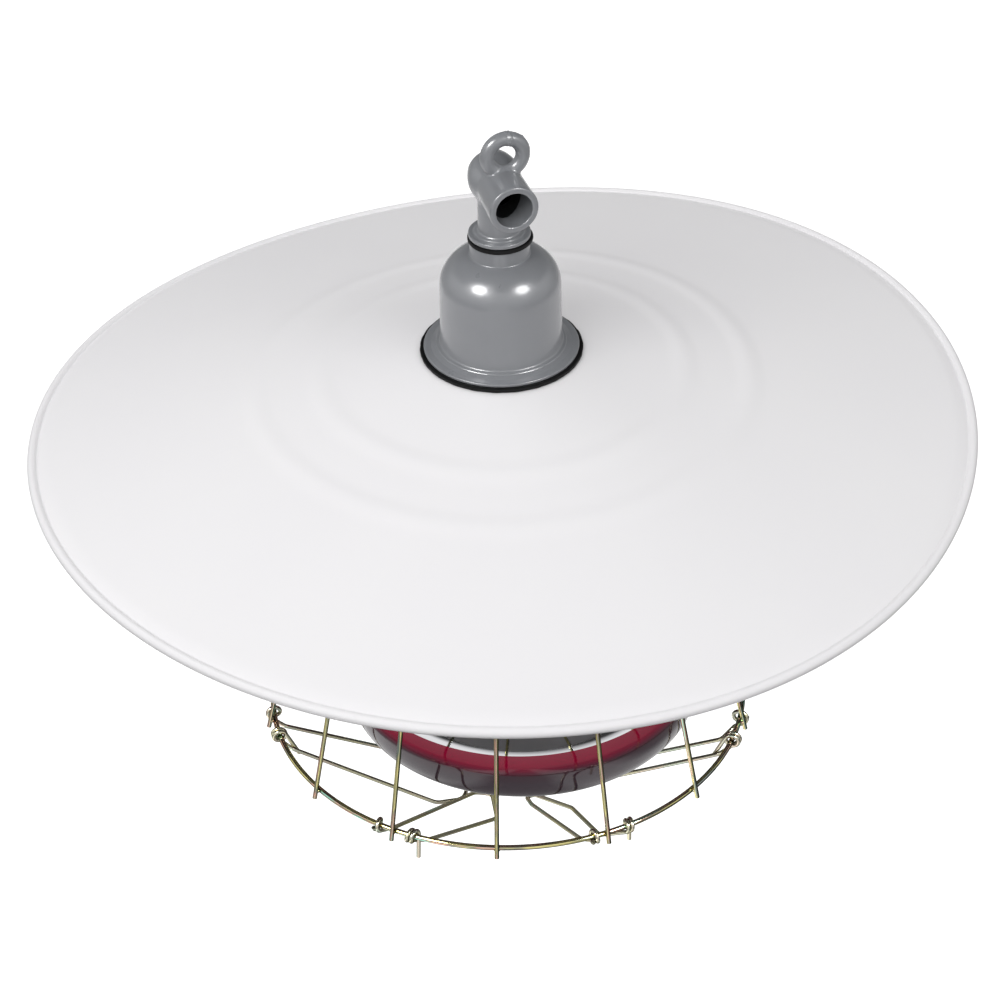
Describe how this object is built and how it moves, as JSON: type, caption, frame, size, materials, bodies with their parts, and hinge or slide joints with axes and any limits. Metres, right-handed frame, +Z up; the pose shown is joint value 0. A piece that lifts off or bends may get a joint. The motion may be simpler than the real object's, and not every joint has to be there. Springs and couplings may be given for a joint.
{
  "type": "hanging infrared heat lamp",
  "caption": "Hanging heat lamp for young stock: shallow enamelled shade, red reflector bulb in a moulded holder, wire guard with hinged loops and a suspension eye.",
  "frame": {"origin": "centre of the suspension eye's hole", "axes": "+Z up along the hanging direction, +X to the right and -Y towards the viewer, with the cable tube's mouth at the front"},
  "size_m": [0.32, 0.32, 0.2766],
  "materials": {
    "moulded_grey": "glossy moulded thermoset",
    "black_rubber": "matt rubber",
    "white_enamel": "gloss stove enamel on pressed sheet",
    "passivated_wire": "yellow passivated zinc on drawn wire",
    "plain_steel": "bright zinc",
    "black_plastic": "moulded, fine grain",
    "porcelain": "glazed",
    "brass": "pressed sheet",
    "cap_metal": "rolled thread sheet",
    "black_glass": "fused glass",
    "silvered_glass": "metal film inside clear glass",
    "ruby_glass": "stained ruby glass",
    "clear_glass": "clear",
    "filament_wire": "drawn wire"
  },
  "bodies": {
    "hanger": {"cable_head": "moulded_grey", "head_washer": "black_rubber"},
    "lamp": {"holder_cap": "moulded_grey", "cap_gasket": "black_rubber", "shade": "white_enamel", "clamp_washer": "plain_steel", "ring_nut": "black_plastic", "socket_body": "porcelain", "socket_shell": "brass", "centre_contact": "brass", "terminal_blocks": "brass", "terminal_screws": "plain_steel", "terminal_rivets": "brass", "socket_screws": "plain_steel", "guard_ring": "passivated_wire", "guard_hoop": "passivated_wire", "guard_inner_hoop": "passivated_wire", "guard_long_wire_1": "passivated_wire", "guard_long_wire_2": "passivated_wire", "guard_long_wire_3": "passivated_wire", "guard_long_wire_4": "passivated_wire", "guard_long_wire_5": "passivated_wire", "guard_long_wire_6": "passivated_wire", "guard_long_wire_7": "passivated_wire", "guard_short_wire_1": "passivated_wire", "guard_short_wire_2": "passivated_wire", "guard_short_wire_3": "passivated_wire", "guard_short_wire_4": "passivated_wire", "guard_short_wire_5": "passivated_wire", "guard_short_wire_6": "passivated_wire", "guard_short_wire_7": "passivated_wire"},
    "bulb_tip": {"bulb_contact": "cap_metal"},
    "bulb": {"bulb_screw_cap": "cap_metal", "bulb_insulator": "black_glass", "bulb_reflector": "silvered_glass", "bulb_front": "ruby_glass", "bulb_stem": "clear_glass", "lead_wires": "filament_wire", "filament_support": "filament_wire", "filament": "filament_wire"},
    "loop_1": {"guard_loop_1": "passivated_wire"},
    "loop_2": {"guard_loop_2": "passivated_wire"},
    "loop_3": {"guard_loop_3": "passivated_wire"},
    "loop_4": {"guard_loop_4": "passivated_wire"},
    "loop_5": {"guard_loop_5": "passivated_wire"},
    "loop_6": {"guard_loop_6": "passivated_wire"},
    "loop_7": {"guard_loop_7": "passivated_wire"}
  },
  "joints": [
    {"name": "head_swivel", "type": "hinge", "parent": "hanger", "child": "lamp", "pos_m": [-0.00172, 0.00564, 0], "axis": [0, 0, 1], "range_deg": [-90, 90]},
    {"name": "bulb_travel", "type": "slide", "parent": "lamp", "child": "bulb_tip", "axis": [0, 0, -1], "range_m": [0, 0.0073]},
    {"name": "bulb_turn", "type": "hinge", "parent": "bulb_tip", "child": "bulb", "pos_m": [-0.00172, 0.00564, 0], "axis": [0, 0, -1], "range_deg": [0, 720]},
    {"name": "loop_1_hinge", "type": "hinge", "parent": "lamp", "child": "loop_1", "pos_m": [0.03231, -0.07184, -0.2219], "axis": [-0.9156, -0.4022, 0], "range_deg": [-8, 80]},
    {"name": "loop_2_hinge", "type": "hinge", "parent": "lamp", "child": "loop_2", "pos_m": [0.08007, -0.01606, -0.2219], "axis": [-0.2564, -0.9666, 0], "range_deg": [-8, 80]},
    {"name": "loop_3_hinge", "type": "hinge", "parent": "lamp", "child": "loop_3", "pos_m": [0.06624, 0.05607, -0.2219], "axis": [0.5958, -0.8031, 0], "range_deg": [-8, 80]},
    {"name": "loop_4_hinge", "type": "hinge", "parent": "lamp", "child": "loop_4", "pos_m": [0.00123, 0.09022, -0.2219], "axis": [0.9994, -0.0349, 0], "range_deg": [-8, 80]},
    {"name": "loop_5_hinge", "type": "hinge", "parent": "lamp", "child": "loop_5", "pos_m": [-0.06601, 0.06068, -0.2219], "axis": [0.6504, 0.7596, 0], "range_deg": [-8, 80]},
    {"name": "loop_6_hinge", "type": "hinge", "parent": "lamp", "child": "loop_6", "pos_m": [-0.08484, -0.0103, -0.2219], "axis": [-0.1884, 0.9821, 0], "range_deg": [-8, 80]},
    {"name": "loop_7_hinge", "type": "hinge", "parent": "lamp", "child": "loop_7", "pos_m": [-0.04108, -0.06928, -0.2219], "axis": [-0.8853, 0.4651, 0], "range_deg": [-8, 80]}
  ],
  "couplings": [
    {"joint": "bulb_travel", "follows": "bulb_turn", "m_per_rad": 0.0005775}
  ]
}
